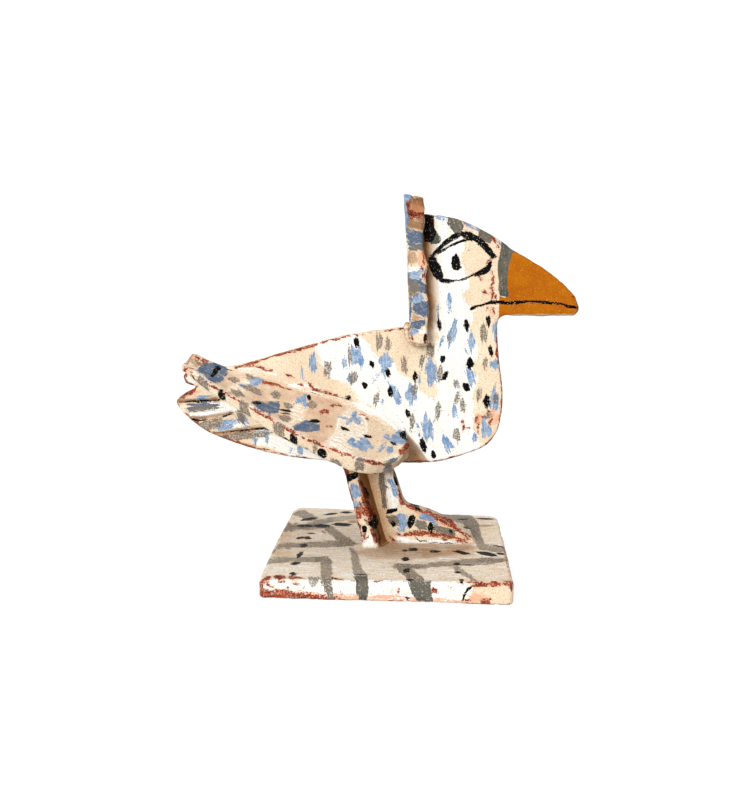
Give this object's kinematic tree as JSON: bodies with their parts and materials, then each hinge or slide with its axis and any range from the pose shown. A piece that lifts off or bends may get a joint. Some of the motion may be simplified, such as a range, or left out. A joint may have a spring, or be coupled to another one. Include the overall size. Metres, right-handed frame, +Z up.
{
  "type": "bird figurine",
  "caption": "Slab-built terracotta bird with a flat upright body, half-raised wings, a crest strip and a boot-shaped leg on a square base, painted with brushed slips.",
  "frame": {"origin": "on the underside of the base, at its middle, in the plane of the bird's body", "axes": "+X towards the beak, +Z up, +Y towards the bird's left side"},
  "size_m": [0.231, 0.1418, 0.213],
  "materials": {
    "painted_terracotta": "matt cream slip over red clay, brushed with white, blue, grey and black slips"
  },
  "bodies": {
    "root": {"base_slab": "painted_terracotta", "leg_strip": "painted_terracotta", "foot_slab": "painted_terracotta", "body_slab": "painted_terracotta", "crest_strip": "painted_terracotta", "right_wing": "painted_terracotta", "left_wing": "painted_terracotta"}
  },
  "joints": []
}
